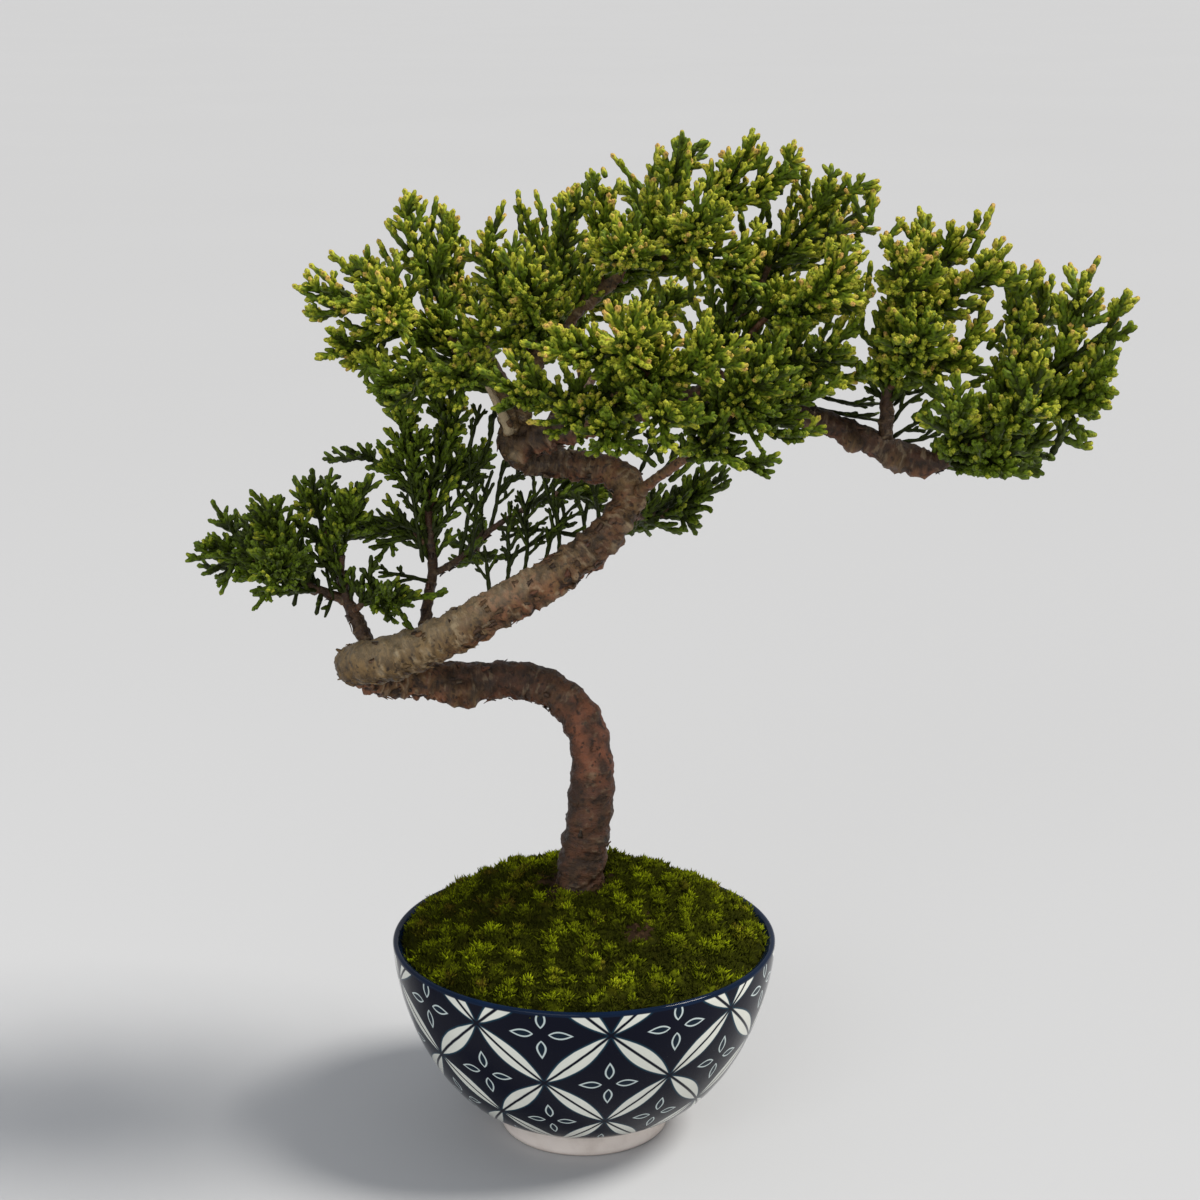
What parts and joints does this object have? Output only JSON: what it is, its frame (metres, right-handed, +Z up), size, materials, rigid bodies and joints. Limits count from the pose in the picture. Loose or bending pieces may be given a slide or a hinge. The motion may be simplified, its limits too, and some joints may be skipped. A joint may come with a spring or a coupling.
{
  "type": "itoigawa juniper bonsai in a bowl pot",
  "caption": "Juniper bonsai with a twice-bent trunk and a wide leaning crown of scale-leaved sprays, rooted in moss-covered soil in a round patterned ceramic bowl.",
  "frame": {"origin": "on the surface that the foot ring stands on, under the middle of the whole tree and bowl", "axes": "+Z up, -Y towards the front of the tree, +X towards the side that the crown leans out to"},
  "size_m": [0.283, 0.1374, 0.3135],
  "materials": {
    "glaze": "gloss",
    "net_plastic": "matte",
    "earth": "matte",
    "moss_green": "matte",
    "bark": "matte",
    "needle_green": "matte"
  },
  "bodies": {
    "root": {"bowl": "glaze", "drain_net": "net_plastic", "soil": "earth", "moss": "moss_green", "wood": "bark", "spray_right_limb_1": "needle_green", "spray_right_limb_2": "needle_green", "spray_right_limb_3": "needle_green", "spray_right_limb_4": "needle_green", "spray_right_limb_5": "needle_green", "spray_right_limb_6": "needle_green", "spray_right_limb_7": "needle_green", "spray_right_riser_1": "needle_green", "spray_right_riser_2": "needle_green", "spray_right_riser_3": "needle_green", "spray_right_riser_4": "needle_green", "spray_middle_riser_1": "needle_green", "spray_middle_riser_2": "needle_green", "spray_middle_riser_3": "needle_green", "spray_middle_riser_4": "needle_green", "spray_top_limb_1": "needle_green", "spray_top_limb_2": "needle_green", "spray_top_limb_3": "needle_green", "spray_top_limb_4": "needle_green", "spray_top_limb_5": "needle_green", "spray_top_limb_6": "needle_green", "spray_top_limb_7": "needle_green", "spray_top_limb_8": "needle_green", "spray_upper_left_limb_1": "needle_green", "spray_upper_left_limb_2": "needle_green", "spray_upper_left_limb_3": "needle_green", "spray_upper_left_limb_4": "needle_green", "spray_upper_left_limb_5": "needle_green", "spray_front_limb_1": "needle_green", "spray_front_limb_2": "needle_green", "spray_front_limb_3": "needle_green", "spray_front_limb_4": "needle_green", "spray_elbow_limb_1": "needle_green", "spray_elbow_limb_2": "needle_green", "spray_elbow_limb_3": "needle_green", "spray_lower_left_limb_1": "needle_green", "spray_lower_left_limb_2": "needle_green", "spray_lower_left_limb_3": "needle_green", "spray_lower_left_fork_1": "needle_green", "spray_lower_left_fork_2": "needle_green", "spray_lower_left_fork_3": "needle_green", "spray_lower_left_fork_4": "needle_green", "spray_middle_left_limb_1": "needle_green", "spray_middle_left_limb_2": "needle_green", "spray_middle_left_limb_3": "needle_green", "spray_middle_left_fork_1": "needle_green", "spray_middle_left_fork_2": "needle_green", "spray_back_right_limb_1": "needle_green", "spray_back_right_limb_2": "needle_green", "spray_back_limb_1": "needle_green", "spray_back_limb_2": "needle_green", "spray_back_left_limb_1": "needle_green", "spray_back_riser_1": "needle_green"}
  },
  "joints": []
}
